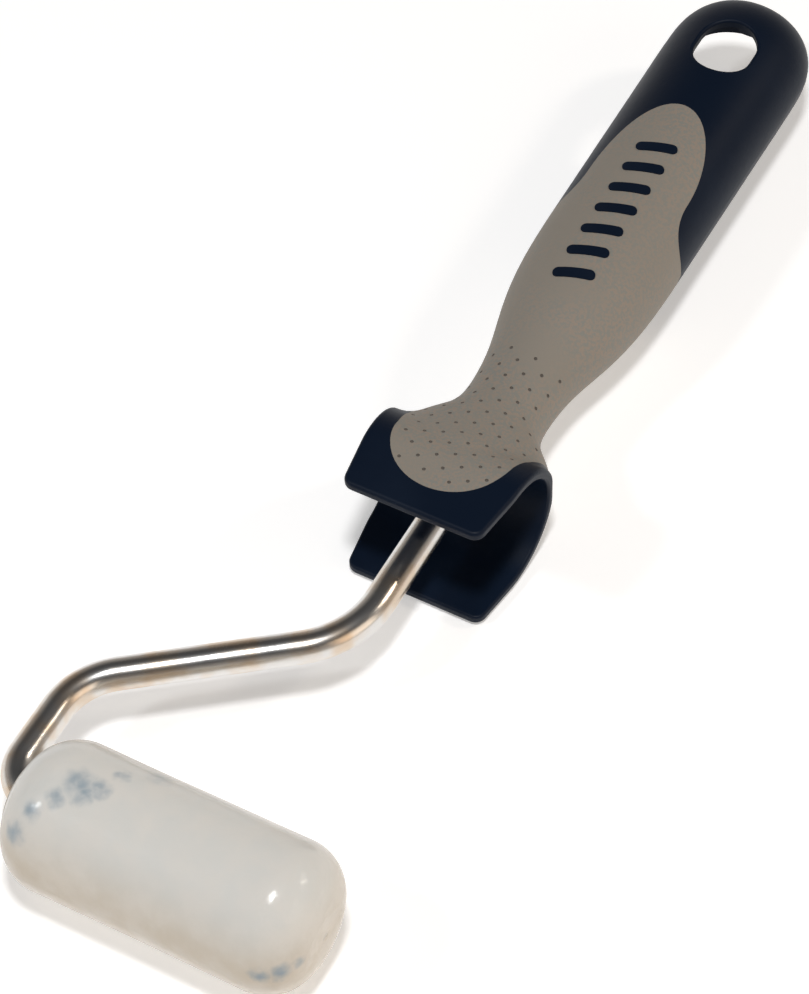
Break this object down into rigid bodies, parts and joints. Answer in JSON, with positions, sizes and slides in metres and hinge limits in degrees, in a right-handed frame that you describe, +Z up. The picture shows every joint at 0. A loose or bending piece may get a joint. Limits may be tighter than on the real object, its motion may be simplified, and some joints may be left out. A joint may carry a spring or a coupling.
{
  "type": "hand roller brayer",
  "caption": "Small hand roller with a round-ended white cover on an offset bent wire frame and a soft-grip handle whose hood hooks over a rim.",
  "frame": {"origin": "on the ground, under the middle of the object's box", "axes": "+X along the roller spindle away from the wire's leg, +Y along the handle towards the hanging hole, +Z up from the back of the handle to its front"},
  "size_m": [0.066, 0.2362, 0.0274],
  "materials": {
    "cover_rubber": "satin white rubber, faintly stained",
    "core_plastic": "moulded grey plastic",
    "bearing_nylon": "natural nylon",
    "bright_wire": "bright plated steel wire",
    "steel_hardware": "plain steel",
    "navy_plastic": "satin navy plastic",
    "grip_rubber": "matt taupe soft-touch rubber with fine pits"
  },
  "bodies": {
    "frame": {"handle_body": "navy_plastic", "grip_overmould": "grip_rubber", "wire_frame": "bright_wire", "stop_collar": "steel_hardware", "near_washer": "steel_hardware", "far_washer": "steel_hardware", "push_nut": "steel_hardware"},
    "roller": {"roller_cover": "cover_rubber", "core_tube": "core_plastic", "near_bush": "bearing_nylon", "far_bush": "bearing_nylon", "end_plug": "core_plastic"}
  },
  "joints": [
    {"name": "roller_spin", "type": "hinge", "parent": "frame", "child": "roller", "pos_m": [0.0084, -0.10444, 0.0137], "axis": [1, 0, 0], "continuous": true}
  ]
}
